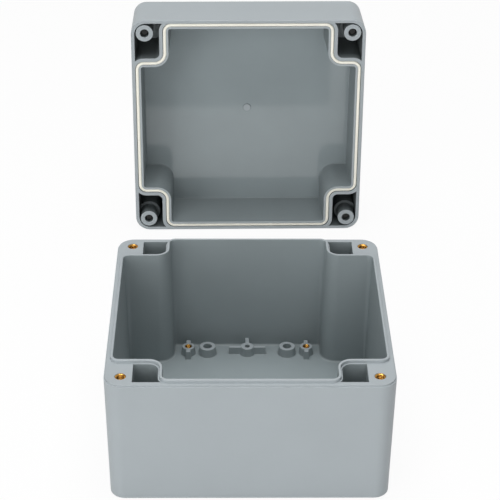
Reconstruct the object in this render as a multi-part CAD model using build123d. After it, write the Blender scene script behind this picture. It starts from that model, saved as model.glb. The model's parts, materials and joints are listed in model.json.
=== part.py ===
from build123d import *
import os
from math import cos, radians, sin, tan

# Square plastic enclosure, shown open: the box stands in front and its lid stands on edge behind it.
# Millimetres. The origin is the middle of the box's underside, +X right, +Y towards the lid, +Z up.

# Outside
outer_x = 120.0
outer_y = 120.0
corner_radius = 7.5
box_height = 58.5
lid_height = 30.0
box_draft = 1.0
lid_draft = 1.3
inner_draft = 1.3
floor_thickness = 2.4
lid_panel = 3.0
foot_round = 1.0
lid_edge_round = 1.2
lid_rim_chamfer = 0.3
cavity_round = 1.0
lid_cavity_round = 0.6

# Step round the top edge of the box, which leaves a shadow line under the lid
rebate_inset = 0.5
rebate_height = 0.8

# Line of the seal, which steps inwards round the screws at each corner
seal_margin_x = 2.6
seal_margin_y = 2.65
notch_x = 23.4
notch_y = 17.05
seal_turn = 3.3
notch_turn = 5.4

# Tongue on the box, and the groove and gasket in the lid that meet it. The gasket is stretched
# round the outward corners, so its outer edge turns more widely there than the groove does.
tongue_width = 1.2
tongue_height = 1.5
tongue_chamfer = 0.25
groove_width = 1.8
groove_depth = 3.0
inner_rim = 1.1
gasket_inner_gap = 0.05
gasket_outer_gap = 0.25
gasket_recess = 0.35
gasket_chamfer = 0.25
gasket_stretch = 0.6

# Corner screws: distance of their centres from the outside, and the threaded inserts in the box
screw_inset = 6.9
insert_diameter = 4.7
insert_length = 9.0
insert_recess = 0.1
insert_clearance = 0.02
insert_mouth = 0.5
screw_core = 3.3

# Corner shafts of the box, which take the screws that fix it to a wall
shaft_from_side = 11.8
shaft_from_front = 2.8
shaft_ledge = 0.6
shaft_foot = 5.0
shaft_draft = 0.8
fixing_hole = 4.5

# Pockets and screw bosses of the lid
pocket_wall = 1.8
boss_diameter = 8.8
boss_bore = 4.4
collar_diameter = 11.7
collar_setback = 8.7
counterbore_diameter = 8.4
counterbore_floor = 15.2
web_bore = 3.5
web_length = 2.0

# Captive lid screws, drawn back into their bosses
head_diameter = 7.4
head_height = 3.2
neck_diameter = 3.1
thread_diameter = 4.0
thread_length = 7.0
tip_chamfer = 0.5
drawn_back = 8.9
cross_length = 4.2
cross_width = 1.0
cross_depth = 1.8
cross_draft = 10.0

# Row of mounting bosses on the floor of the box, once near the back wall and once near the front
row_from_outside = 11.5
floor_boss_height = 4.0
insert_boss_spacing = 56.0
insert_boss_top = 5.9
insert_boss_foot = 6.8
insert_rib_reach = 5.2
insert_rib_width = 2.0
rib_draft = 5.0
floor_insert_diameter = 3.4
floor_insert_length = 4.4
floor_insert_recess = 0.05
floor_insert_core = 2.5
floor_insert_mouth = 0.2
plain_boss_spacing = 37.8
plain_boss_top = 7.5
plain_boss_foot = 8.7
plain_boss_bore = 4.0
plain_boss_depth = 3.4
centre_boss_top = 6.1
centre_boss_foot = 7.2
centre_boss_bore = 2.3
centre_boss_depth = 3.6
side_rib_reach = 8.6
side_rib_width = 1.4
side_rib_drop = 0.4
wall_rib_width = 1.8

# Moulding nub in the middle of the lid's inner face
nub_diameter = 4.2
nub_height = 0.5
nub_chamfer = 0.2

# Where the lid stands, and how far it is turned about the vertical. Its rim leans back by its
# draft, so that its side wall lies on the floor.
lid_stand_x = 1.35
lid_stand_y = 173.3
lid_turn = 0.8

# How far a cut runs on past the face that it opens, and how close two heights count as one
cut_past = 1.0
near = 0.001

# Worked out from the sizes above
seal_x = outer_x / 2 - seal_margin_x
seal_y = outer_y / 2 - seal_margin_y
step_x = outer_x / 2 - notch_x
step_y = outer_y / 2 - notch_y
screw_x = outer_x / 2 - screw_inset
screw_y = outer_y / 2 - screw_inset
tongue_top = box_height + tongue_height
row_y = outer_y / 2 - row_from_outside
boss_crest = floor_thickness + floor_boss_height
lid_cavity_depth = lid_height - lid_panel
corners = [(-1, -1), (1, -1), (-1, 1), (1, 1)]
corner_names = ["front_left", "front_right", "back_left", "back_right"]
lid_corner_names = ["lower_left", "upper_left", "lower_right", "upper_right"]
lid_lean = radians(lid_draft)
lid_upright = Plane(
    origin=(0, outer_x / 2 * sin(lid_lean), outer_x / 2 * cos(lid_lean)),
    x_dir=(0, sin(lid_lean), cos(lid_lean)),
    z_dir=(0, cos(lid_lean), -sin(lid_lean)),
).location
lid_place = Pos(lid_stand_x, lid_stand_y, 0) * Rot(0, 0, lid_turn) * lid_upright


def outline(inset_x, inset_y):
    """Outside of the enclosure seen from above, moved inwards."""
    return RectangleRounded(outer_x - 2 * inset_x, outer_y - 2 * inset_y, corner_radius - inset_x)


def seal_region(grow, stretch=0):
    """Area inside the line of the seal, grown outwards, and cut shorter at its outward corners."""
    wide = Rectangle(2 * (seal_x + grow), 2 * (step_y + grow))
    deep = Rectangle(2 * (step_x + grow), 2 * (seal_y + grow))
    cross = wide + deep
    hollow_x = step_x + grow + near
    hollow_y = step_y + grow + near
    hollows = [v for v in cross.vertices() if abs(v.X) < hollow_x and abs(v.Y) < hollow_y]
    cross = fillet(hollows, notch_turn - grow)
    edge_x = seal_x + grow - near
    edge_y = seal_y + grow - near
    points = [v for v in cross.vertices() if abs(v.X) > edge_x or abs(v.Y) > edge_y]
    return fillet(points, seal_turn + grow + stretch)


def drafted(section, start, end, draft):
    """Solid from one height to another, whose sides close in by the draft on the way."""
    solid = extrude(section, abs(end - start), taper=draft)
    if end < start:
        solid = mirror(solid, Plane.XY)
    return Pos(0, 0, start) * solid


def at_height(solid, height):
    """Edges that lie flat at one height."""
    return solid.edges().filter_by_position(Axis.Z, height - near, height + near)


def in_corner(solid, corner):
    """Copy a solid made in the +X +Y corner into another corner, as its mirror image."""
    if corner[0] < 0:
        solid = mirror(solid, Plane.YZ)
    if corner[1] < 0:
        solid = mirror(solid, Plane.XZ)
    return solid


def pin(diameter, start, end):
    """Round bar along Z between two heights."""
    return Pos(0, 0, start) * extrude(Circle(diameter / 2), end - start)


def corner_shaft():
    """Shaft between the screw column, the front or back wall and the tongue, with its fixing hole."""
    far_x = outer_x / 2 - shaft_from_side
    far_y = outer_y / 2 - shaft_from_front
    section = Pos(far_x / 2, far_y / 2) * Rectangle(far_x, far_y)
    section -= seal_region(tongue_width / 2 + shaft_ledge)
    shaft = drafted(section, box_height, shaft_foot, shaft_draft)
    hole_x = outer_x / 2 - (shaft_from_side + notch_x - tongue_width / 2 - shaft_ledge) / 2
    hole_y = outer_y / 2 - (shaft_from_front + notch_y - tongue_width / 2 - shaft_ledge) / 2
    return shaft + Pos(hole_x, hole_y, 0) * pin(fixing_hole, -cut_past, shaft_foot + cut_past)


def boss(top, foot):
    """Tapered round boss standing on the floor."""
    cone = Cone(foot / 2, top / 2, floor_boss_height, align=(Align.CENTER, Align.CENTER, Align.MIN))
    return Pos(0, 0, floor_thickness) * cone


def rib(length, width, height):
    """Straight rib standing on the floor, drafted on all its sides."""
    widening = 2 * height * tan(radians(rib_draft))
    foot = Rectangle(length + widening, width + widening)
    return drafted(foot, floor_thickness, floor_thickness + height, rib_draft)


def boss_row():
    """Five bosses with their ribs, on the line Y = 0 with the wall on the +Y side."""
    row = boss(centre_boss_top, centre_boss_foot)
    row += rib(2 * side_rib_reach, side_rib_width, floor_boss_height - side_rib_drop)
    wall_rib = row_from_outside - seal_margin_y
    row += Pos(0, wall_rib / 2) * rib(wall_rib_width, wall_rib, floor_boss_height)
    row -= pin(centre_boss_bore, boss_crest - centre_boss_depth, boss_crest + cut_past)
    for side in (-1, 1):
        insert_boss = boss(insert_boss_top, insert_boss_foot)
        insert_boss += rib(insert_rib_width, 2 * insert_rib_reach, floor_boss_height)
        row += Pos(side * insert_boss_spacing / 2, 0) * insert_boss
        plain_boss = boss(plain_boss_top, plain_boss_foot)
        plain_boss -= pin(plain_boss_bore, boss_crest - plain_boss_depth, boss_crest + cut_past)
        row += Pos(side * plain_boss_spacing / 2, 0) * plain_boss
    return row


def box_shell():
    body = drafted(outline(0, 0), box_height - rebate_height, 0, box_draft)
    body = fillet(at_height(body, 0), foot_round)
    top_step = extrude(outline(rebate_inset, rebate_inset), rebate_height)
    body += Pos(0, 0, box_height - rebate_height) * top_step
    body += Pos(0, 0, box_height) * extrude(seal_region(tongue_width / 2), tongue_height)
    cavity = drafted(seal_region(-tongue_width / 2), tongue_top, floor_thickness, inner_draft)
    cavity = fillet(at_height(cavity, floor_thickness), cavity_round)
    body -= cavity
    body = chamfer(at_height(body, tongue_top), tongue_chamfer)
    row = boss_row()
    body += Pos(0, row_y) * row
    body += mirror(Pos(0, row_y) * row, Plane.XZ)
    shaft = corner_shaft()
    corner_seat = box_height - insert_recess - insert_length
    corner_bore = pin(insert_diameter, corner_seat, box_height + cut_past)
    floor_seat = boss_crest - floor_insert_recess - floor_insert_length
    floor_bore = pin(floor_insert_diameter, floor_seat, boss_crest + cut_past)
    for corner in corners:
        body -= in_corner(shaft, corner)
        body -= Pos(corner[0] * screw_x, corner[1] * screw_y) * corner_bore
        body -= Pos(corner[0] * insert_boss_spacing / 2, corner[1] * row_y) * floor_bore
    return body


def threaded_insert(diameter, core, length, mouth):
    """Brass bush with a countersunk bore. Its mouth is at Z = 0."""
    bush = pin(diameter - 2 * insert_clearance, -length, 0)
    bush -= pin(core, -length - cut_past, cut_past)
    rim = at_height(bush, 0).filter_by(GeomType.CIRCLE).sort_by(SortBy.RADIUS)[0]
    return chamfer(rim, mouth)


def corner_insert():
    return threaded_insert(insert_diameter, screw_core, insert_length, insert_mouth)


def floor_insert():
    core = floor_insert_core
    return threaded_insert(floor_insert_diameter, core, floor_insert_length, floor_insert_mouth)


def lid_pocket():
    """Pocket between the side walls of the lid and the wall of the seal groove."""
    inside = outline(seal_margin_x - groove_width / 2, seal_margin_y - groove_width / 2)
    section = inside & Pos(outer_x / 4, outer_y / 4) * Rectangle(outer_x / 2, outer_y / 2)
    section -= seal_region(groove_width / 2 + pocket_wall)
    return drafted(section, 0, lid_cavity_depth, lid_draft)


def lid_shell():
    """The lid with its rim at Z = 0 and its outer face up, as it would lie on the box."""
    body = drafted(outline(0, 0), 0, lid_height, lid_draft)
    body = fillet(at_height(body, lid_height), lid_edge_round)
    body = chamfer(at_height(body, 0), lid_rim_chamfer)
    cavity = drafted(seal_region(-groove_width / 2 - inner_rim), 0, lid_cavity_depth, inner_draft)
    cavity = fillet(at_height(cavity, lid_cavity_depth), lid_cavity_round)
    body -= cavity
    body -= extrude(seal_region(groove_width / 2) - seal_region(-groove_width / 2), groove_depth)
    pocket = lid_pocket()
    tube_top = lid_cavity_depth + lid_panel / 2
    tube = pin(boss_diameter, 0, tube_top)
    tube += pin(collar_diameter, collar_setback, tube_top)
    bore = pin(web_bore, -cut_past, lid_height)
    bore += pin(boss_bore, -cut_past, counterbore_floor - web_length)
    bore += pin(counterbore_diameter, counterbore_floor, lid_height + cut_past)
    for corner in corners:
        at_screw = Pos(corner[0] * screw_x, corner[1] * screw_y)
        body -= in_corner(pocket, corner)
        body += at_screw * tube
        body -= at_screw * bore
    nub = chamfer(pin(nub_diameter, 0, nub_height).edges().sort_by(Axis.Z)[0], nub_chamfer)
    return body + Pos(0, 0, lid_cavity_depth - nub_height) * nub


def lid_gasket():
    outside = seal_region(groove_width / 2 - gasket_outer_gap, gasket_stretch)
    inside = seal_region(gasket_inner_gap - groove_width / 2)
    ring = Pos(0, 0, gasket_recess) * extrude(outside - inside, groove_depth - gasket_recess)
    return chamfer(at_height(ring, gasket_recess), gasket_chamfer)


def lid_screw():
    """Screw with a reduced neck, head up. The underside of its head is at Z = 0."""
    tip = -counterbore_floor - thread_length
    screw = pin(head_diameter, 0, head_height) + pin(neck_diameter, -counterbore_floor, 0)
    screw += chamfer(at_height(pin(thread_diameter, tip, -counterbore_floor), tip), tip_chamfer)
    for turn in (0, 90):
        slot = extrude(Rectangle(cross_length, cross_width), -cross_depth, taper=cross_draft)
        screw -= Pos(0, 0, head_height) * Rot(0, 0, turn) * slot
    return screw


def write(solid, name):
    export_step(solid, "parts/" + name + ".step")


os.makedirs("parts", exist_ok=True)
write(box_shell(), "box_shell")
write(lid_place * lid_shell(), "lid_shell")
write(lid_place * lid_gasket(), "lid_gasket")
for corner, place, lid_corner in zip(corners, corner_names, lid_corner_names):
    at_screw = Pos(corner[0] * screw_x, corner[1] * screw_y)
    at_boss = Pos(corner[0] * insert_boss_spacing / 2, corner[1] * row_y)
    in_corner_top = at_screw * Pos(0, 0, box_height - insert_recess)
    write(in_corner_top * corner_insert(), "corner_insert_" + place)
    in_floor = at_boss * Pos(0, 0, boss_crest - floor_insert_recess)
    write(in_floor * floor_insert(), "floor_insert_" + place)
    in_boss = at_screw * Pos(0, 0, counterbore_floor + drawn_back)
    write(lid_place * in_boss * lid_screw(), "lid_screw_" + lid_corner)
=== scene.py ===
import json
from math import cos, pi, radians, sin, tau

import bmesh
import bpy
from mathutils import Matrix, Vector


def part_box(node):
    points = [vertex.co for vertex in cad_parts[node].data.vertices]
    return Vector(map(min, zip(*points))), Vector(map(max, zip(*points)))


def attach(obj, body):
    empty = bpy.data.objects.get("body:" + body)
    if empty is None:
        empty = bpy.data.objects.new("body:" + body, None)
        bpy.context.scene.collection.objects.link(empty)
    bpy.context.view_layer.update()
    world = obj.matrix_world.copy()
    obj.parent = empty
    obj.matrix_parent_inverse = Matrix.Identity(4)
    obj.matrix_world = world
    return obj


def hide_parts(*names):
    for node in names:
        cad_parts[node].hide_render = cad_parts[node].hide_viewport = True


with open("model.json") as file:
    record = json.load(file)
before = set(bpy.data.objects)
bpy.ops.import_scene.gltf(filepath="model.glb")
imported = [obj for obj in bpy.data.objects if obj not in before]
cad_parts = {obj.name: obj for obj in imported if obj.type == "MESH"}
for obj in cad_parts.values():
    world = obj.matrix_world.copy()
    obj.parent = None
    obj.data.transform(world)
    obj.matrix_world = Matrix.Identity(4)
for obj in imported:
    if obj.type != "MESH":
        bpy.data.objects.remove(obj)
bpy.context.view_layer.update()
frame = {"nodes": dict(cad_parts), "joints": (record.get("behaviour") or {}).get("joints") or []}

# Open plastic enclosure: the box stands in front, and its lid stands on edge behind it.
# Lengths are in metres unless a name ends in _mm.

bl_info = {
    "name": "Open Plastic Enclosure",
    "version": (1, 0, 0),
    "blender": (4, 5, 0),
    "location": "View3D > Sidebar > Enclosure",
    "description": "Dresses the box, lid, gasket, inserts and screws of a moulded enclosure",
    "category": "Object",
}

MM = 0.001
BACKDROP_WHITE = 1.0
PLASTIC_IOR = 1.57
FOAM_IOR = 1.45
NOISE_SPAN = (0.3, 0.7)
TURNING_STEPS = 40
CREASE = radians(35)


# Sizes and colours that a user would change


class EnclosureFinish(bpy.types.PropertyGroup):
    """Colours and surface finish of the plastic, the gasket and the metal, with the painted shade of the
    inner faces and of the screws
    """

    plastic_colour: bpy.props.FloatVectorProperty(
        name="Plastic", description="Colour of the textured faces of both mouldings", subtype="COLOR",
        size=3, min=0, max=1, default=(0.348, 0.386, 0.406))
    # Base colour of the smooth and satin faces; the levels below darken it as painted shade.
    inner_colour: bpy.props.FloatVectorProperty(
        name="Inner plastic", description="Colour of the smooth and satin faces, before their shade",
        subtype="COLOR", size=3, min=0, max=1, default=(0.337, 0.389, 0.404))
    outer_roughness: bpy.props.FloatProperty(
        name="Outer roughness", description="Roughness of the textured outer faces",
        min=0, max=1, default=0.46)
    inner_roughness: bpy.props.FloatProperty(
        name="Inner roughness", description="Roughness of the smooth inner faces",
        min=0, max=1, default=0.07)
    wall_roughness: bpy.props.FloatProperty(
        name="Wall roughness", description="Roughness of the satin inner walls",
        min=0, max=1, default=0.55)
    # Partly painted shade: the smooth panel and floor are darkened both for their polished look and to
    # paint in the shade of the hollows.
    smooth_painted_shade: bpy.props.FloatProperty(
        name="Smooth shade", description="How light the smooth faces look beside the textured ones",
        subtype="FACTOR", min=0, max=1, default=0.86)
    # Painted shade: the box's inner walls are darkened to stand in for the shade on them.
    wall_painted_shade: bpy.props.FloatProperty(
        name="Wall shade", description="How light the box's inner walls look beside the textured faces",
        subtype="FACTOR", min=0, max=1, default=0.79)
    # Painted shade: the lid's inner walls are darkened to stand in for the shade in the lid.
    lid_wall_painted_shade: bpy.props.FloatProperty(
        name="Lid wall shade", description="How light the lid's inner walls look beside the textured faces",
        subtype="FACTOR", min=0, max=1, default=0.64)
    # Painted shade: the lid's deep pockets are darkened to stand in for the shade in them.
    pocket_painted_shade: bpy.props.FloatProperty(
        name="Pocket shade", description="How light the lid's pockets look beside the textured faces",
        subtype="FACTOR", min=0, max=1, default=0.36)
    grain_size: bpy.props.FloatProperty(
        name="Grain size", description="Width of one grain of the outer texture",
        subtype="DISTANCE", min=0.02 * MM, default=0.22 * MM)
    grain_depth: bpy.props.FloatProperty(
        name="Grain depth", description="Depth of the outer texture",
        subtype="DISTANCE", min=0, default=0.006 * MM)
    edge_round: bpy.props.FloatProperty(
        name="Edge round", description="Radius on the crisp edges of the mouldings",
        subtype="DISTANCE", min=0.02 * MM, default=0.14 * MM)
    gasket_colour: bpy.props.FloatVectorProperty(
        name="Gasket", description="Colour of the gasket", subtype="COLOR",
        size=3, min=0, max=1, default=(0.95, 0.925, 0.82))
    brass_colour: bpy.props.FloatVectorProperty(
        name="Brass", description="Colour of the threaded inserts", subtype="COLOR",
        size=3, min=0, max=1, default=(0.88, 0.48, 0.11))
    # Near-black steel: the shade in the screws' bores is painted into this colour.
    steel_painted_shade_colour: bpy.props.FloatVectorProperty(
        name="Steel", description="Colour of the lid screws", subtype="COLOR",
        size=3, min=0, max=1, default=(0.04, 0.04, 0.04))


class EnclosureBead(bpy.types.PropertyGroup):
    """Gasket in the groove of the lid"""

    width: bpy.props.FloatProperty(
        name="Width", description="Width of the gasket", subtype="DISTANCE", default=1.62 * MM)
    shift: bpy.props.FloatProperty(
        name="Shift", description="How far the gasket lies outwards of the groove's middle",
        subtype="DISTANCE", default=0.02 * MM)
    recess: bpy.props.FloatProperty(
        name="Recess", description="How deep the crown lies below the rim of the lid",
        subtype="DISTANCE", default=0.08 * MM)
    shoulder: bpy.props.FloatProperty(
        name="Shoulder", description="How deep the sides of the crown begin",
        subtype="DISTANCE", default=0.62 * MM)
    depth: bpy.props.FloatProperty(
        name="Depth", description="How deep the gasket reaches into the lid",
        subtype="DISTANCE", default=2.98 * MM)
    notch_x: bpy.props.FloatProperty(
        name="Notch up", description="Depth of the seal line's step, along the lid's height",
        subtype="DISTANCE", default=20.8 * MM)
    notch_y: bpy.props.FloatProperty(
        name="Notch across", description="Depth of the seal line's step, across the lid",
        subtype="DISTANCE", default=14.4 * MM)
    outward_turn: bpy.props.FloatProperty(
        name="Outward turn", description="Radius of the gasket's outward corners",
        subtype="DISTANCE", default=3.6 * MM)
    inward_turn: bpy.props.FloatProperty(
        name="Inward turn", description="Radius of the gasket's inward corners",
        subtype="DISTANCE", default=5.45 * MM)
    node_half_width: bpy.props.FloatProperty(
        name="Solid's half width", description="Half of the width of the plain solid in the groove",
        subtype="DISTANCE", default=0.75 * MM)
    arc_steps: bpy.props.IntProperty(
        name="Steps in a corner", description="Faces round one corner", min=2, default=14)
    crown_steps: bpy.props.IntProperty(
        name="Steps in the crown", description="Faces over the crown", min=2, default=12)


class EnclosureThreads(bpy.types.PropertyGroup):
    """Threads of the inserts and the lid screws, and the screws' lengths"""

    lid_outer: bpy.props.FloatProperty(
        name="Lid thread", description="Outer diameter of the lid screws' thread",
        subtype="DISTANCE", default=4.0 * MM)
    lid_core: bpy.props.FloatProperty(
        name="Lid core", description="Core diameter of the lid screws' thread",
        subtype="DISTANCE", default=3.3 * MM)
    lid_pitch: bpy.props.FloatProperty(
        name="Lid pitch", description="Pitch of the lid screws' thread",
        subtype="DISTANCE", default=0.7 * MM)
    neck_length: bpy.props.FloatProperty(
        name="Neck length", description="Length of a lid screw between its head and its thread",
        subtype="DISTANCE", default=15.2 * MM)
    neck_diameter: bpy.props.FloatProperty(
        name="Neck diameter", description="Diameter of the lid screws' reduced neck",
        subtype="DISTANCE", default=3.1 * MM)
    screw_thread_length: bpy.props.FloatProperty(
        name="Screw thread length", description="Length of the thread on a lid screw",
        subtype="DISTANCE", default=7.0 * MM)
    board_outer: bpy.props.FloatProperty(
        name="Board thread", description="Outer diameter of the board screws' thread",
        subtype="DISTANCE", default=3.0 * MM)
    board_core: bpy.props.FloatProperty(
        name="Board core", description="Core diameter of the board screws' thread",
        subtype="DISTANCE", default=2.5 * MM)
    board_pitch: bpy.props.FloatProperty(
        name="Board pitch", description="Pitch of the board screws' thread",
        subtype="DISTANCE", default=0.5 * MM)


class EnclosureStage(bpy.types.PropertyGroup):
    """Camera, lamps and floor"""

    lens_mm: bpy.props.FloatProperty(
        name="Lens", description="Focal length on a sensor 36 mm wide, in millimetres",
        min=10, default=121.55)
    pitch_down: bpy.props.FloatProperty(
        name="Pitch", description="How far the camera looks down",
        subtype="ANGLE", default=radians(30.09))
    turn_right: bpy.props.FloatProperty(
        name="Turn", description="How far the camera looks to the right",
        subtype="ANGLE", default=radians(0.85))
    roll: bpy.props.FloatProperty(
        name="Roll", description="How far the camera leans",
        subtype="ANGLE", default=radians(0.44))
    camera_place: bpy.props.FloatVectorProperty(
        name="Camera", description="Where the camera stands",
        subtype="TRANSLATION", size=3, default=(-0.00902, -0.62349, 0.44862))
    zenith_level: bpy.props.FloatProperty(
        name="Zenith", description="How light the sky overhead looks in gloss and metal",
        min=0, max=1, default=0.2)
    overhead_watts: bpy.props.FloatProperty(
        name="Overhead lamp", description="Power of the wide lamp overhead, in watts", min=0, default=13.3)
    back_watts: bpy.props.FloatProperty(
        name="Back lamp", description="Power of the lamp high behind the object, in watts",
        min=0, default=1.6)
    front_watts: bpy.props.FloatProperty(
        name="Front lamp", description="Power of the low lamp in front, in watts", min=0, default=6.9)
    high_front_watts: bpy.props.FloatProperty(
        name="High front lamp", description="Power of the lamp high in front on the left, in watts",
        min=0, default=2.3)
    left_front_watts: bpy.props.FloatProperty(
        name="Left front lamp", description="Power of the low lamp in front on the left, in watts",
        min=0, default=6.3)
    right_front_watts: bpy.props.FloatProperty(
        name="Right front lamp", description="Power of the lamp high in front on the right, in watts",
        min=0, default=1.2)
    shadow_share: bpy.props.FloatProperty(
        name="Shadow", description="How much of the floor's own shading the camera sees",
        subtype="FACTOR", min=0, max=1, default=0.07)
    floor_colour: bpy.props.FloatVectorProperty(
        name="Floor", description="Colour of the floor", subtype="COLOR",
        size=3, min=0, max=1, default=(0.86, 0.86, 0.86))


# Shader maths


class Value:
    """A shader socket. Python expressions on it add Math nodes."""

    def __init__(self, graph, socket):
        self.graph = graph
        self.socket = socket

    def maths(self, operation, *inputs):
        return self.graph.node("ShaderNodeMath", {"operation": operation}, dict(enumerate(inputs)))

    def __add__(self, other):
        return self.maths("ADD", self, other)

    def __mul__(self, other):
        return self.maths("MULTIPLY", self, other)


class Graph:
    """Node tree that short calls add nodes to."""

    def __init__(self, tree):
        self.tree = tree
        self.tree.nodes.clear()

    def node(self, kind, settings=None, inputs=None, output=0):
        """Adds a node, sets its settings, then its sockets, and gives one of its outputs."""
        made = self.tree.nodes.new(kind)
        for name, setting in (settings or {}).items():
            setattr(made, name, setting)
        for socket, value in (inputs or {}).items():
            if isinstance(value, Value):
                self.tree.links.new(value.socket, made.inputs[socket])
            else:
                made.inputs[socket].default_value = value
        return Value(self, made.outputs[output] if made.outputs else None)

    def noise(self, place, size, detail=2.0, roughness=0.5):
        """Soft noise from 0 to 1 whose lumps are about one size wide."""
        return self.node(
            "ShaderNodeTexNoise", None,
            {"Vector": place, "Scale": 1 / size, "Detail": detail, "Roughness": roughness})

    def ramp(self, value, low, high, to_low=0.0, to_high=1.0):
        """Maps a value from one range to another and stops at its ends."""
        return self.node(
            "ShaderNodeMapRange", None,
            {"Value": value, "From Min": low, "From Max": high, "To Min": to_low, "To Max": to_high})

    def mix_colours(self, share, first, second):
        """Colour between two, by a share from 0 to 1."""
        factor, a, b, result = 0, 6, 7, 2
        return self.node(
            "ShaderNodeMix", {"data_type": "RGBA"}, {factor: share, a: first, b: second}, result)

    def bump(self, height, depth):
        """Normal of a relief whose height of 1 is one depth."""
        return self.node("ShaderNodeBump", None, {"Height": height, "Strength": 1.0, "Distance": depth})


def new_material(name):
    """New material and the graph of its nodes."""
    material = bpy.data.materials.new(name)
    material.use_nodes = True
    return material, Graph(material.node_tree)


def surface(graph, sockets):
    """Ends a material with one Principled shader."""
    shader = graph.node("ShaderNodeBsdfPrincipled", None, sockets)
    graph.node("ShaderNodeOutputMaterial", None, {"Surface": shader})


def shade(colour, level):
    """A colour made lighter or darker, as four numbers."""
    return tuple(min(1.0, part * level) for part in colour) + (1.0,)


def outer_plastic(name, finish):
    """Moulded plastic with the fine even grain of an eroded tool."""
    flow_size, speck_size, swell_size = 28 * MM, 0.5 * MM, 9 * MM
    dark, light = 0.975, 1.025
    matt, sheen = finish.outer_roughness - 0.05, finish.outer_roughness + 0.06
    material, graph = new_material(name)
    place = graph.node("ShaderNodeTexCoord", output="Object")
    flow = graph.noise(place, flow_size, detail=3.0)
    speck = graph.noise(place, speck_size, detail=1.0)
    grain = graph.noise(place, finish.grain_size, roughness=0.6)
    swell = graph.noise(place, swell_size, detail=1.0)
    tone = graph.ramp(flow * 0.75 + speck * 0.25, *NOISE_SPAN)
    surface(graph, {
        "Base Color": graph.mix_colours(
            tone, shade(finish.plastic_colour, dark), shade(finish.plastic_colour, light)),
        "Roughness": graph.ramp(grain, 0.25, 0.75, matt, sheen),
        "Normal": graph.bump(grain + swell * 3.0, finish.grain_depth),
        "IOR": PLASTIC_IOR,
    })
    return material


def inner_plastic(name, colour, level, roughness):
    """The same plastic where it was moulded against a smooth or satin core. Its colour is darkened by level
    as painted shade.
    """
    flow_size, haze_size, swell_size = 22 * MM, 3.5 * MM, 14 * MM
    swell_depth = 0.008 * MM
    # level darkens the base colour: painted shade.
    dark, light = level * 0.975, level * 1.025
    material, graph = new_material(name)
    place = graph.node("ShaderNodeTexCoord", output="Object")
    flow = graph.noise(place, flow_size, detail=3.0)
    haze = graph.noise(place, haze_size, detail=4.0, roughness=0.6)
    swell = graph.noise(place, swell_size, detail=1.0)
    surface(graph, {
        "Base Color": graph.mix_colours(
            graph.ramp(flow, *NOISE_SPAN), shade(colour, dark), shade(colour, light)),
        "Roughness": graph.ramp(haze, *NOISE_SPAN, roughness - 0.03, roughness + 0.04),
        "Normal": graph.bump(swell + haze * 0.1, swell_depth),
        "IOR": PLASTIC_IOR,
    })
    return material


def plastics(finish):
    """The finishes of the mouldings, in the order of their numbers in Cavity. All but the textured one
    carry painted shade.
    """
    # Each core finish takes a level that darkens its colour as painted shade.
    cores = {
        "plastic_smooth_shade_painted": (finish.smooth_painted_shade, finish.inner_roughness),
        "plastic_satin_shade_painted": (finish.wall_painted_shade, finish.wall_roughness),
        "plastic_lid_wall_shade_painted": (finish.lid_wall_painted_shade, finish.wall_roughness),
        "plastic_pocket_shade_painted": (finish.pocket_painted_shade, finish.wall_roughness),
    }
    made = [bpy.data.materials.get("plastic_textured") or outer_plastic("plastic_textured", finish)]
    for name, (level, roughness) in cores.items():
        material = bpy.data.materials.get(name)
        made.append(material or inner_plastic(name, finish.inner_colour, level, roughness))
    return made


def foam_rubber(finish):
    """Matt closed-cell foam of the gasket, with its fine pores, which are painted darker as shade."""
    pore_size, pore_depth, blotch_size = 0.22 * MM, 0.018 * MM, 4 * MM
    dark, light = 0.93, 1.04
    material, graph = new_material("foam_rubber")
    place = graph.node("ShaderNodeTexCoord", output="Object")
    pores = graph.node(
        "ShaderNodeTexVoronoi", {"feature": "F1"}, {"Vector": place, "Scale": 1 / pore_size})
    blotch = graph.noise(place, blotch_size, detail=3.0)
    # pit dents the pores in the bump and also paints them darker, as painted shade in the pores.
    pit = graph.ramp(pores, 0.15, 0.5)
    surface(graph, {
        "Base Color": graph.mix_colours(
            graph.ramp(blotch * 0.6 + pit * 0.4, 0.3, 0.8),
            shade(finish.gasket_colour, dark), shade(finish.gasket_colour, light)),
        "Roughness": graph.ramp(blotch, *NOISE_SPAN, 0.68, 0.82),
        "Normal": graph.bump(pit, pore_depth),
        "IOR": FOAM_IOR,
    })
    return material


def turned_metal(name, colour, roughness, stain):
    """Turned metal with fine tool marks and a slight stain."""
    mark_size, mark_depth, patch_size = 0.32 * MM, 0.002 * MM, 1.3 * MM
    material, graph = new_material(name)
    place = graph.node("ShaderNodeTexCoord", output="Object")
    marks = graph.node(
        "ShaderNodeTexWave", {"wave_type": "BANDS", "bands_direction": "Z"},
        {"Vector": place, "Scale": 1 / mark_size, "Distortion": 1.5, "Detail": 2.0})
    patches = graph.noise(place, patch_size, detail=3.0, roughness=0.6)
    surface(graph, {
        "Base Color": graph.mix_colours(
            graph.ramp(patches, 0.35, 0.7), shade(colour, stain), shade(colour, 1.0)),
        "Metallic": 1.0,
        "Roughness": graph.ramp(patches, *NOISE_SPAN, roughness + 0.08, roughness - 0.05),
        "Normal": graph.bump(marks, mark_depth),
    })
    return material


# Making pieces


def add_piece(name, mesh, body, replaced, materials):
    """Puts a mesh into the scene as a piece that stands for a CAD node."""
    piece = bpy.data.objects.new(name, mesh)
    bpy.context.scene.collection.objects.link(piece)
    for material in materials:
        mesh.materials.append(material)
    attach(piece, body)
    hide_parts(replaced)


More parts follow.
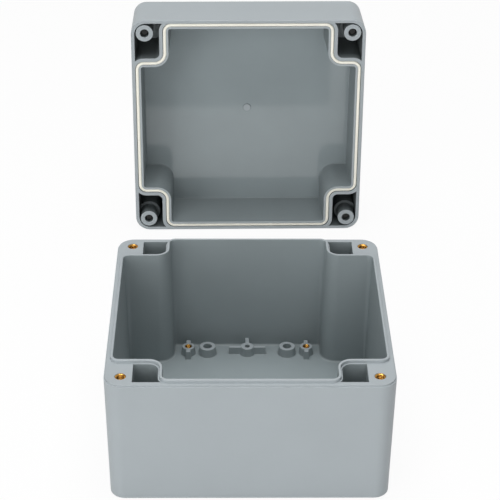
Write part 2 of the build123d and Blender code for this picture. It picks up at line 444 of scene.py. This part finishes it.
def softened_copy(node, edge_round):
    """Mesh of a CAD node with its crisp edges rounded over a little."""
    weld = 2e-6
    flat, sharp_from = radians(0.3), radians(50)
    grid = bmesh.new()
    grid.from_mesh(frame["nodes"][node].data)
    bmesh.ops.remove_doubles(grid, verts=grid.verts, dist=weld)
    bmesh.ops.dissolve_limit(grid, angle_limit=flat, verts=grid.verts, edges=grid.edges)
    mesh = bpy.data.meshes.new(node)
    grid.to_mesh(mesh)
    grid.free()
    holder = bpy.data.objects.new(node, mesh)
    bpy.context.scene.collection.objects.link(holder)
    bevel = holder.modifiers.new("edges", "BEVEL")
    bevel.limit_method = "ANGLE"
    bevel.angle_limit = sharp_from
    bevel.width = edge_round
    bevel.segments = 3
    bevel.use_clamp_overlap = False
    normals = holder.modifiers.new("normals", "WEIGHTED_NORMAL")
    normals.mode = "FACE_AREA"
    normals.weight = 50
    mesh.shade_smooth()
    bpy.context.view_layer.update()
    seen = holder.evaluated_get(bpy.context.evaluated_depsgraph_get())
    rounded = bpy.data.meshes.new_from_object(seen)
    rounded.name = node + "_rounded"
    bpy.data.objects.remove(holder)
    bpy.data.meshes.remove(mesh)
    rounded.materials.clear()
    return rounded


class Cavity:
    """The inside of a shell in its own frame, to tell smooth, satin and textured faces apart. The smooth
    and satin finishes are painted darker as shade, the pockets' the darkest.

    opening is 1 if the shell opens upwards in that frame, and -1 if it opens downwards.
    reach and corner are its limits from the middle, along each axis and as the sum of both.
    heights are its lowest and highest limit. Walls that face outwards are textured above the rim.
    Flat faces are textured above the ledge and smooth below the floor. Only textured faces keep
    the plain colour; the others carry painted shade. satin is the number of the walls' finish.
    pocket says where the corner pockets begin, along each axis, and gives the number of their
    finish, which has the darkest painted shade. nub is the half width of a textured nub.
    """

    # Finish numbers. All but textured darken the colour as painted shade.
    textured, smooth, box_satin, lid_satin, pocket_satin = range(5)
    steep_below = 0.98  # upright part of the normal, about 11 degrees off the opening

    def __init__(self, to_local, opening, reach, corner, heights, rim, ledge, floor,
                 satin, pocket, nub=0.0):
        self.to_local = to_local
        self.opening = opening
        self.reach, self.corner = reach, corner
        self.low, self.high = heights
        self.rim, self.ledge, self.floor = rim, ledge, floor
        self.satin = satin
        self.pocket_x, self.pocket_y, self.pocket = pocket
        self.nub = nub

    def finish_of(self, face):
        """Finish of a face: bottoms are smooth, inner walls are satin, and all else is textured. Smooth and
        satin faces are painted darker as shade.
        """
        centre = self.to_local @ face.center
        normal = self.to_local.to_3x3() @ face.normal
        x, y = abs(centre.x), abs(centre.y)
        if max(x, y) > self.reach or x + y > self.corner or not self.low < centre.z < self.high:
            return self.textured
        level = centre.z * self.opening
        # Faces in the corner pockets take the darkest painted shade.
        satin = self.pocket if x > self.pocket_x and y > self.pocket_y else self.satin
        if normal.z * self.opening < self.steep_below:
            inward = normal.x * centre.x + normal.y * centre.y < 0
            return satin if inward or level < self.rim else self.textured
        on_nub = max(x, y) < self.nub and face.area < 4 * self.nub ** 2
        # Flat faces near the rim and the nub keep the textured colour; deeper ones are painted darker as
        # shade.
        if level > self.ledge or on_nub:
            return self.textured
        return self.smooth if level < self.floor else satin


class Thread:
    """Helical thread profile along an axis, measured by its radius. Its knots are shares of the pitch."""

    def __init__(self, outer, core, pitch, internal):
        self.outer, self.core, self.pitch = outer / 2, core / 2, pitch
        crest, root = (0.25, 0.125) if internal else (0.125, 0.25)
        flank = (1 - crest - root) / 2
        self.knots = [0.0, crest, crest + flank, crest + flank + root]
        on_crest, in_root = (self.core, self.outer) if internal else (self.outer, self.core)
        self.radii = [on_crest, on_crest, in_root, in_root]

    def radius(self, height, angle):
        """Radius of the profile at one height and angle."""
        phase = (height / self.pitch - angle / tau) % 1.0
        knots = self.knots + [1.0]
        radii = self.radii + self.radii[:1]
        i = next(i for i in range(len(self.knots)) if phase <= knots[i + 1])
        share = (phase - knots[i]) / (knots[i + 1] - knots[i])
        return radii[i] + share * (radii[i + 1] - radii[i])

    def levels(self, low, high, angle):
        """Heights of the profile's corners at one angle, held between two ends."""
        spare = 2
        first = int(low / self.pitch) - spare
        last = int(high / self.pitch) + spare
        heights = []
        for turn in range(first, last):
            for knot in self.knots:
                height = (turn + knot + angle / tau) * self.pitch
                heights.append(min(max(height, low), high))
        return heights


def lathe(grid, rings):
    """Skins closed rings of vertices one after another."""
    for lower, upper in zip(rings, rings[1:]):
        count = len(lower)
        for i in range(count):
            j = (i + 1) % count
            grid.faces.new((lower[i], lower[j], upper[j], upper[i]))


def ring(grid, radius, height):
    """Ring of vertices round the Z axis."""
    angles = [tau * i / TURNING_STEPS for i in range(TURNING_STEPS)]
    return [grid.verts.new((radius * cos(angle), radius * sin(angle), height)) for angle in angles]


def threaded_wall(grid, thread, low, high, limit):
    """Helical wall between two heights. Gives its lowest and highest ring of vertices."""
    columns = []
    for i in range(TURNING_STEPS):
        angle = tau * i / TURNING_STEPS
        column = []
        for height in thread.levels(low, high, angle):
            radius = limit(height, thread.radius(height, angle))
            column.append(grid.verts.new((radius * cos(angle), radius * sin(angle), height)))
        columns.append(column)
    turn = len(thread.knots)
    rows = len(columns[0])
    for i in range(TURNING_STEPS):
        near = columns[i]
        if i + 1 < TURNING_STEPS:
            far, shift = columns[i + 1], 0
        else:
            far, shift = columns[0], turn
        for row in range(rows - 1 - shift):
            grid.faces.new((near[row], far[row + shift], far[row + 1 + shift], near[row + 1]))
    bottom = [column[0] for column in columns]
    top = [column[-1] for column in columns]
    return bottom, top


def closed_mesh(grid, name, place):
    """Welds and tidies a grid, moves it to its place and gives a smooth-shaded mesh."""
    weld = 1e-7
    bmesh.ops.remove_doubles(grid, verts=grid.verts, dist=weld)
    bmesh.ops.dissolve_degenerate(grid, edges=grid.edges, dist=weld)
    bmesh.ops.recalc_face_normals(grid, faces=grid.faces)
    grid.transform(place)
    mesh = bpy.data.meshes.new(name)
    grid.to_mesh(mesh)
    grid.free()
    mesh.shade_smooth()
    mesh.set_sharp_from_angle(angle=CREASE)
    return mesh


def threaded_bush(name, thread, radius, length, mouth, place):
    """Brass insert with its mouth at height 0: helical bore, countersink and chamfered outside."""
    chamfer = 0.25 * MM
    wide = thread.outer + mouth

    def limit(height, bore):
        return max(bore, wide + height)

    grid = bmesh.new()
    bottom, top = threaded_wall(grid, thread, -length, 0.0, limit)
    outside = [
        ring(grid, radius - chamfer, 0.0),
        ring(grid, radius, -chamfer),
        ring(grid, radius, chamfer - length),
        ring(grid, radius - chamfer, -length),
    ]
    lathe(grid, [top] + outside + [bottom])
    return closed_mesh(grid, name, place)


def cross_recess(piece_mesh, top, place):
    """Cuts the tapered cross into a screw head whose top is at one height."""
    length, width, depth, narrowing = 4.2 * MM, 1.0 * MM, 1.8 * MM, 0.3 * MM
    lift = 0.2 * MM
    head = bpy.data.objects.new("cut_head", piece_mesh)
    bpy.context.scene.collection.objects.link(head)
    for turn in (0, pi / 2):
        bar = bmesh.new()
        bmesh.ops.create_cube(bar, size=1.0)
        for corner in bar.verts:
            deep = corner.co.z < 0
            shrink = narrowing if deep else 0.0
            corner.co.x *= length - 2 * shrink
            corner.co.y *= width - shrink
            corner.co.z = top - depth if deep else top + lift
        bar.transform(place @ Matrix.Rotation(turn, 4, "Z"))
        cutter_mesh = bpy.data.meshes.new("cutter")
        bar.to_mesh(cutter_mesh)
        bar.free()
        cutter = bpy.data.objects.new("cutter", cutter_mesh)
        bpy.context.scene.collection.objects.link(cutter)
        cut = head.modifiers.new("cross", "BOOLEAN")
        cut.operation = "DIFFERENCE"
        cut.solver = "EXACT"
        cut.object = cutter
        bpy.context.view_layer.update()
        seen = head.evaluated_get(bpy.context.evaluated_depsgraph_get())
        result = bpy.data.meshes.new_from_object(seen)
        head.modifiers.clear()
        head.data = result
        bpy.data.objects.remove(cutter)
    bpy.data.objects.remove(head)
    result.shade_smooth()
    result.set_sharp_from_angle(angle=CREASE)
    return result


def screw_mesh(name, thread, sizes, head, head_height, place):
    """Captive lid screw, head up, with the underside of its head at height 0."""
    soft, chamfer, tip_chamfer, soft_steps = 0.35 * MM, 0.15 * MM, 0.5 * MM, 4
    neck = sizes.neck_diameter / 2
    thread_top = -sizes.neck_length
    tip = thread_top - sizes.screw_thread_length
    blunt = thread.outer - tip_chamfer

    def limit(height, radius):
        return min(radius, blunt + height - tip, neck + thread_top - height)

    grid = bmesh.new()
    bottom, top = threaded_wall(grid, thread, tip, thread_top, limit)
    profile = [(neck, -soft), (neck + soft, 0.0), (head - chamfer, 0.0), (head, chamfer)]
    for k in range(soft_steps, -1, -1):
        angle = pi / 2 * k / soft_steps
        profile.append((head - soft + soft * sin(angle), head_height - soft + soft * cos(angle)))
    rings = [ring(grid, radius, height) for radius, height in profile]
    lathe(grid, [top] + rings)
    grid.faces.new(rings[-1])
    grid.faces.new(list(reversed(bottom)))
    mesh = closed_mesh(grid, name, place)
    return cross_recess(mesh, head_height, place)


def add_moulding(name, body, node, cavity, finish):
    """Adds a shell with softened edges, and gives each of its faces its finish."""
    mesh = softened_copy(node, finish.edge_round)
    add_piece(name, mesh, body, node, plastics(finish))
    for face in mesh.polygons:
        face.material_index = cavity.finish_of(face)


# Operators, one for each piece or group of like pieces


class ENCLOSURE_OT_box(bpy.types.Operator):
    """Dress the box moulding: softened edges, textured outside, with satin walls and a smooth floor, both
    painted darker as shade
    """

    bl_idname = "enclosure.box"
    bl_label = "Box"

    def execute(self, context):
        cavity = Cavity(
            Matrix.Identity(4), opening=1, reach=57.5 * MM, corner=112 * MM,
            heights=(2.3 * MM, 62 * MM), rim=58.2 * MM, ledge=5.0 * MM, floor=5.0 * MM,
            satin=Cavity.box_satin, pocket=(36 * MM, 36 * MM, Cavity.box_satin))
        add_moulding("box_moulding", "box", "box_shell", cavity, context.scene.enclosure_finish)
        return {"FINISHED"}


class ENCLOSURE_OT_lid(bpy.types.Operator):
    """Dress the lid moulding: softened edges, textured outside, with satin walls and a smooth panel, all
    painted darker as shade
    """

    bl_idname = "enclosure.lid"
    bl_label = "Lid"

    def execute(self, context):
        cavity = Cavity(
            lid_place().inverted(), opening=-1, reach=58.6 * MM, corner=112 * MM,
            heights=(0.2 * MM, 27.2 * MM), rim=0.0, ledge=-4 * MM, floor=-20 * MM,
            satin=Cavity.lid_satin, pocket=(37.2 * MM, 43.6 * MM, Cavity.pocket_satin), nub=2.5 * MM)
        add_moulding("lid_moulding", "lid", "lid_shell", cavity, context.scene.enclosure_finish)
        return {"FINISHED"}


def lid_place():
    """Lid's own frame: rim at height 0, height towards the panel, X up, Y to the right."""
    drive = next(Vector(j["axis"]) for j in frame["joints"] if j["name"].startswith("screw_drive"))
    height = -drive.normalized()
    across = height.cross(Vector((0, 0, 1))).normalized()
    up = across.cross(height)
    corners = [v.co for v in frame["nodes"]["lid_shell"].data.vertices]

    def middle(axis):
        reach = [corner.dot(axis) for corner in corners]
        return (min(reach) + max(reach)) / 2

    rim = min(corner.dot(height) for corner in corners)
    origin = rim * height + middle(across) * across + middle(up) * up
    turn = Matrix((up, across, height)).transposed().to_4x4()
    return Matrix.Translation(origin) @ turn


def lid_box(node):
    """Lowest and highest corner of a node in the lid's own frame."""
    to_lid = lid_place().inverted()
    rows = list(zip(*(to_lid @ v.co for v in frame["nodes"][node].data.vertices)))
    return Vector([min(row) for row in rows]), Vector([max(row) for row in rows])


class ENCLOSURE_OT_gasket(bpy.types.Operator):
    """Make the foam gasket, a bead with a rounded crown, in the groove of the lid"""

    bl_idname = "enclosure.gasket"
    bl_label = "Gasket"

    def execute(self, context):
        bead = context.scene.enclosure_bead
        path = rounded_line(seal_corners(bead), bead.arc_steps)
        section = bead_section(bead)
        grid = bmesh.new()
        rings = [
            [grid.verts.new((*(point + normal * across), height)) for point, normal in path]
            for across, height in section
        ]
        lathe(grid, rings + rings[:1])
        mesh = closed_mesh(grid, "gasket_bead", lid_place())
        add_piece("gasket_bead", mesh, "lid", "lid_gasket",
                  [foam_rubber(context.scene.enclosure_finish)])
        return {"FINISHED"}


def seal_corners(bead):
    """Corners of the gasket's middle line in the lid's own frame, each with its turn, going round."""
    far = lid_box("lid_gasket")[1]
    far_x = far.x - bead.node_half_width
    far_y = far.y - bead.node_half_width
    step_x = far_x - bead.notch_x
    step_y = far_y - bead.notch_y
    quarter = [
        (far_x, step_y, bead.outward_turn), (step_x, step_y, bead.inward_turn),
        (step_x, far_y, bead.outward_turn),
    ]
    corners = []
    for sign_x, sign_y in ((1, 1), (-1, 1), (-1, -1), (1, -1)):
        turned = [(Vector((sign_x * x, sign_y * y)), radius) for x, y, radius in quarter]
        corners += turned if sign_x * sign_y > 0 else turned[::-1]
    return corners


def rounded_line(corners, steps):
    """Points of a closed line with round corners, each with its outward normal."""
    line = []
    count = len(corners)
    for i in range(count):
        corner, radius = corners[i]
        before = (corners[i - 1][0] - corner).normalized()
        after = (corners[(i + 1) % count][0] - corner).normalized()
        centre = corner + (before + after) * radius
        outward = -before.cross(after) > 0
        for k in range(steps + 1):
            angle = pi / 2 * k / steps
            spoke = -after * cos(angle) - before * sin(angle)
            line.append((centre + spoke * radius, spoke if outward else -spoke))
    return line


def bead_section(bead):
    """Outline of the gasket's section: distance across, outwards, and height into the groove."""
    half = bead.width / 2
    crown = [
        (bead.shift + half * cos(pi * k / bead.crown_steps),
         bead.shoulder - (bead.shoulder - bead.recess) * sin(pi * k / bead.crown_steps))
        for k in range(bead.crown_steps + 1)
    ]
    return crown + [(bead.shift - half, bead.depth), (bead.shift + half, bead.depth)]


class ENCLOSURE_OT_inserts(bpy.types.Operator):
    """Make the brass inserts of the corners and of the floor bosses, with their threads"""

    bl_idname = "enclosure.inserts"
    bl_label = "Threaded inserts"

    def execute(self, context):
        sizes = context.scene.enclosure_threads
        finish = context.scene.enclosure_finish
        mouth = 0.05 * MM
        brass = turned_metal("brass", finish.brass_colour, roughness=0.24, stain=0.62)
        corner = Thread(sizes.lid_outer, sizes.lid_core, sizes.lid_pitch, internal=True)
        board = Thread(sizes.board_outer, sizes.board_core, sizes.board_pitch, internal=True)
        for node in sorted(n for n in frame["nodes"] if "_insert_" in n):
            low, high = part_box(node)
            radius = (high.x - low.x) / 2
            place = Matrix.Translation(((low.x + high.x) / 2, (low.y + high.y) / 2, high.z))
            thread = corner if node.startswith("corner") else board
            mesh = threaded_bush(node + "_threaded", thread, radius, high.z - low.z, mouth, place)
            add_piece(node + "_threaded", mesh, "box", node, [brass])
        return {"FINISHED"}


class ENCLOSURE_OT_screws(bpy.types.Operator):
    """Make the captive lid screws, with thread, reduced neck and cross recess"""

    bl_idname = "enclosure.screws"
    bl_label = "Lid screws"

    def execute(self, context):
        sizes = context.scene.enclosure_threads
        finish = context.scene.enclosure_finish
        # The steel's near-black colour is painted shade of the bores.
        steel = turned_metal("stainless_steel_painted_shade", finish.steel_painted_shade_colour, roughness=0.45, stain=0.85)
        thread = Thread(sizes.lid_outer, sizes.lid_core, sizes.lid_pitch, internal=False)
        shank = sizes.neck_length + sizes.screw_thread_length
        for node in sorted(n for n in frame["nodes"] if n.startswith("lid_screw_")):
            low, high = lid_box(node)
            head = (high.x - low.x) / 2
            underside = low.z + shank
            centre = ((low.x + high.x) / 2, (low.y + high.y) / 2, underside)
            place = lid_place() @ Matrix.Translation(centre)
            mesh = screw_mesh(node + "_threaded", thread, sizes, head, high.z - underside, place)
            body = node.replace("lid_screw_", "screw_")
            add_piece(node + "_threaded", mesh, body, node, [steel])
        return {"FINISHED"}


class ENCLOSURE_OT_stage(bpy.types.Operator):
    """Set up the floor, the light and the camera"""

    bl_idname = "enclosure.stage"
    bl_label = "Stage"

    def execute(self, context):
        stage = context.scene.enclosure_stage
        add_floor(stage)
        add_sky(stage)
        add_lamp("overhead", (0.0, 0.05, 1.2), 1.0, stage.overhead_watts)
        add_lamp("back", (0.0, 0.8, 1.1), 0.6, stage.back_watts)
        add_lamp("front", (0.0, -1.4, 0.25), 0.9, stage.front_watts)
        add_lamp("high_front", (-0.6, -1.0, 0.8), 0.5, stage.high_front_watts)
        add_lamp("left_front", (-1.0, -1.0, 0.25), 0.7, stage.left_front_watts)
        add_lamp("right_front", (0.45, -1.1, 0.8), 0.5, stage.right_front_watts)
        add_camera(stage)
        context.scene.view_settings.view_transform = "Standard"
        return {"FINISHED"}


def seen_directly(graph):
    """1 for rays from the camera, and for those that gloss and glass send on. 0 for the others."""
    kinds = ("Is Camera Ray", "Is Glossy Ray", "Is Transmission Ray")
    rays = [graph.node("ShaderNodeLightPath", output=kind) for kind in kinds]
    total = rays[0] + rays[1] + rays[2]
    return total.maths("MINIMUM", total, 1.0)


def add_floor(stage):
    """White floor that is lit plainly. The camera sees it as white, with a share of its shading."""
    half, under = 3.0, 0.1 * MM
    mesh = bpy.data.meshes.new("floor")
    corners = [(-half, -half, -under), (half, -half, -under), (half, half, -under), (-half, half, -under)]
    mesh.from_pydata(corners, [], [(0, 1, 2, 3)])
    floor = bpy.data.objects.new("floor", mesh)
    bpy.context.scene.collection.objects.link(floor)
    material, graph = new_material("floor")
    mesh.materials.append(material)
    paint = graph.node("ShaderNodeBsdfDiffuse", None, {"Color": tuple(stage.floor_colour) + (1.0,)})
    white = graph.node("ShaderNodeEmission", None, {"Strength": BACKDROP_WHITE})
    share = seen_directly(graph) * (1 - stage.shadow_share)
    mixed = graph.node("ShaderNodeMixShader", None, {0: share, 1: paint, 2: white})
    graph.node("ShaderNodeOutputMaterial", None, {"Surface": mixed})


def add_sky(stage):
    """Sky that the camera and gloss see as white, and darker overhead. It adds no other light."""
    darkens_from, darkest_at = 0.15, 0.75
    world = bpy.data.worlds.new("studio")
    bpy.context.scene.world = world
    world.use_nodes = True
    graph = Graph(world.node_tree)
    direction = graph.node("ShaderNodeTexCoord", output="Generated")
    up = graph.node("ShaderNodeSeparateXYZ", None, {"Vector": direction}, "Z")
    white = graph.ramp(
        up, darkens_from, darkest_at, BACKDROP_WHITE, BACKDROP_WHITE * stage.zenith_level)
    strength = seen_directly(graph) * white
    light = graph.node("ShaderNodeBackground", None, {"Color": (1.0, 1.0, 1.0, 1.0), "Strength": strength})
    graph.node("ShaderNodeOutputWorld", None, {"Surface": light})


def add_lamp(name, place, width, watts):
    """Square soft lamp that faces the object."""
    target = Vector((0.0, 0.03, 0.03))
    lamp = bpy.data.lights.new(name, "AREA")
    lamp.shape = "SQUARE"
    lamp.size = width
    lamp.energy = watts
    holder = bpy.data.objects.new(name, lamp)
    holder.location = place
    holder.rotation_euler = (target - Vector(place)).to_track_quat("-Z", "Y").to_euler()
    bpy.context.scene.collection.objects.link(holder)


def add_camera(stage):
    """Camera at the photograph's viewing angle."""
    camera = bpy.data.cameras.new("camera")
    camera.sensor_width = 36.0
    camera.lens = stage.lens_mm
    camera.clip_start = 0.01
    camera.clip_end = 20.0
    holder = bpy.data.objects.new("camera", camera)
    turn, pitch = stage.turn_right, stage.pitch_down
    forward = Vector((sin(turn) * cos(pitch), cos(turn) * cos(pitch), -sin(pitch)))
    right = Vector((cos(turn), -sin(turn), 0.0))
    up = right.cross(forward)
    leant_right = cos(stage.roll) * right + sin(stage.roll) * up
    leant_up = cos(stage.roll) * up - sin(stage.roll) * right
    axes = Matrix((leant_right, leant_up, -forward)).transposed().to_4x4()
    holder.matrix_world = Matrix.Translation(stage.camera_place) @ axes
    bpy.context.scene.collection.objects.link(holder)
    bpy.context.scene.camera = holder


class ENCLOSURE_PT_sidebar(bpy.types.Panel):
    """Enclosure settings and pieces"""

    bl_idname = "ENCLOSURE_PT_sidebar"
    bl_label = "Enclosure"
    bl_space_type = "VIEW_3D"
    bl_region_type = "UI"
    bl_category = "Enclosure"

    def draw(self, context):
        for operator in operators:
            self.layout.operator(operator.bl_idname)
        for group in groups:
            settings = getattr(context.scene, group)
            box = self.layout.box()
            for name in settings.bl_rna.properties.keys():
                if name not in ("rna_type", "name"):
                    box.prop(settings, name)


groups = {
    "enclosure_finish": EnclosureFinish,
    "enclosure_bead": EnclosureBead,
    "enclosure_threads": EnclosureThreads,
    "enclosure_stage": EnclosureStage,
}
operators = [
    ENCLOSURE_OT_box,
    ENCLOSURE_OT_lid,
    ENCLOSURE_OT_gasket,
    ENCLOSURE_OT_inserts,
    ENCLOSURE_OT_screws,
    ENCLOSURE_OT_stage,
]


def register():
    for kind in list(groups.values()) + operators + [ENCLOSURE_PT_sidebar]:
        bpy.utils.register_class(kind)
    for name, kind in groups.items():
        setattr(bpy.types.Scene, name, bpy.props.PointerProperty(type=kind))


def unregister():
    for name in groups:
        delattr(bpy.types.Scene, name)
    for kind in [ENCLOSURE_PT_sidebar] + operators[::-1] + list(groups.values())[::-1]:
        bpy.utils.unregister_class(kind)


def main():
    register()
    bpy.ops.enclosure.box()
    bpy.ops.enclosure.lid()
    bpy.ops.enclosure.gasket()
    bpy.ops.enclosure.inserts()
    bpy.ops.enclosure.screws()
    bpy.ops.enclosure.stage()


if __name__ == "__main__":
    main()
